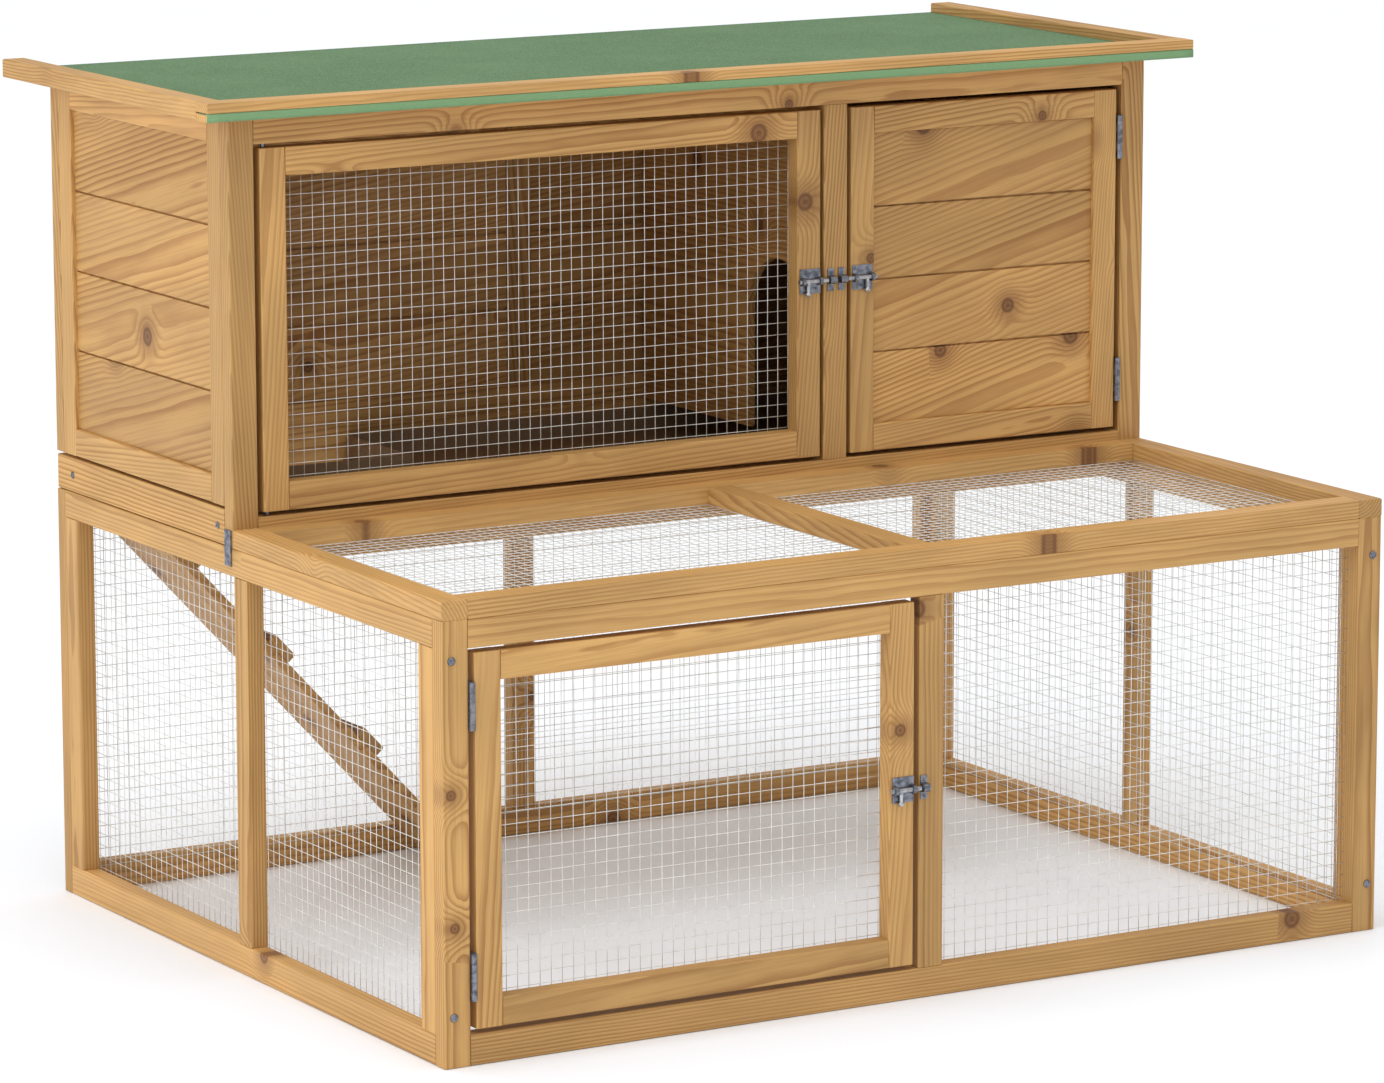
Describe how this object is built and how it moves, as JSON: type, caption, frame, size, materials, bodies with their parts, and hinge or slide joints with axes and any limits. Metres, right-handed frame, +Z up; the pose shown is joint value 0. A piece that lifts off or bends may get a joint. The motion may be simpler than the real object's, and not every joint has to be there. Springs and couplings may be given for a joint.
{
  "type": "rabbit hutch",
  "caption": "Wooden rabbit hutch: a wire-mesh run below, a boarded and meshed house on its back half, with hinged doors, sliding bolts, ramp, pull-out tray and lifting roof.",
  "frame": {"origin": "centre of the bounding box in plan, on the ground", "axes": "+X to the right along the front as seen from the front, +Y from the run's front to the back, +Z up"},
  "size_m": [1.232, 0.9382, 0.932],
  "materials": {
    "pine": "planed pine, warm honey stain, satin",
    "pine_boards": "planed pine boards, warm honey stain, satin",
    "wire": "galvanised wire, bright",
    "zinc": "zinc-plated steel, satin",
    "bolt_rods": "zinc-plated steel, bright",
    "tray": "brown moulded plastic, fine texture",
    "felt": "green mineral roofing felt, fine grit"
  },
  "bodies": {
    "hutch": {"run_front_frame": "pine", "run_left_frame": "pine", "run_right_frame": "pine", "run_back_frame": "pine", "run_front_mesh": "wire", "run_left_mesh": "wire", "run_right_mesh": "wire", "run_back_mesh": "wire", "run_corner_bolts": "zinc", "lid_frame": "pine", "lid_mesh": "wire", "cross_rail": "pine", "floor_battens": "pine", "house_front_frame": "pine", "house_left_frame": "pine", "house_left_boards": "pine_boards", "house_right_frame": "pine", "house_right_boards": "pine_boards", "house_back_frame": "pine", "house_back_boards": "pine_boards", "house_base_rail": "pine", "house_floor": "pine_boards", "house_divider": "pine_boards", "tie_plates": "zinc", "hinge_fixed_leaves": "zinc", "hinge_pins": "zinc", "bolt_keepers": "zinc", "mesh_door_pivots": "zinc", "ramp_fixed_leaf": "zinc", "ramp_hinge_pin": "zinc", "roof_fixed_leaves": "zinc", "roof_hinge_pins": "zinc"},
    "run_door": {"run_door_frame": "pine", "run_door_mesh": "wire", "run_door_leaves": "zinc", "run_bolt_plate": "zinc"},
    "run_door_bolt": {"run_bolt": "bolt_rods"},
    "mesh_door": {"mesh_door_frame": "pine", "mesh_door_mesh": "wire", "mesh_bolt_plate": "zinc"},
    "mesh_door_bolt": {"mesh_bolt": "bolt_rods"},
    "solid_door": {"solid_door_frame": "pine", "solid_door_boards": "pine_boards", "solid_door_leaves": "zinc", "solid_bolt_plate": "zinc"},
    "solid_door_bolt": {"solid_bolt": "bolt_rods"},
    "tray": {"tray_pan": "tray", "tray_front": "pine", "tray_screws": "zinc"},
    "ramp": {"ramp_board": "pine_boards", "ramp_treads": "pine", "ramp_leaf": "zinc"},
    "roof": {"roof_board": "pine_boards", "roof_felt": "felt", "roof_trims": "pine", "roof_leaves": "zinc"}
  },
  "joints": [
    {"name": "run_door_hinge", "type": "hinge", "parent": "hutch", "child": "run_door", "pos_m": [-0.5415, -0.4611, 0.2295], "axis": [0, 0, -1], "range_deg": [0, 170]},
    {"name": "run_bolt_slide", "type": "slide", "parent": "run_door", "child": "run_door_bolt", "axis": [1, 0, 0], "range_m": [-0.002, 0.01]},
    {"name": "mesh_door_hinge", "type": "hinge", "parent": "hutch", "child": "mesh_door", "pos_m": [-0.53, 0.0101, 0.685], "axis": [0, 0, -1], "range_deg": [0, 100]},
    {"name": "mesh_bolt_slide", "type": "slide", "parent": "mesh_door", "child": "mesh_door_bolt", "axis": [1, 0, 0], "range_m": [-0.002, 0.01]},
    {"name": "solid_door_hinge", "type": "hinge", "parent": "hutch", "child": "solid_door", "pos_m": [0.5415, -0.0011, 0.685], "axis": [0, 0, 1], "range_deg": [0, 170]},
    {"name": "solid_bolt_slide", "type": "slide", "parent": "solid_door", "child": "solid_door_bolt", "axis": [-1, 0, 0], "range_m": [-0.002, 0.01]},
    {"name": "tray_slide", "type": "slide", "parent": "hutch", "child": "tray", "axis": [-1, 0, 0], "range_m": [0, 1]},
    {"name": "ramp_hinge", "type": "hinge", "parent": "hutch", "child": "ramp", "pos_m": [-0.5515, 0.3411, 0.436], "axis": [0, -1, 0], "range_deg": [0, 35]},
    {"name": "roof_hinge", "type": "hinge", "parent": "hutch", "child": "roof", "pos_m": [0, 0.4396, 0.9085], "axis": [-1, 0, 0], "range_deg": [0, 75]}
  ]
}
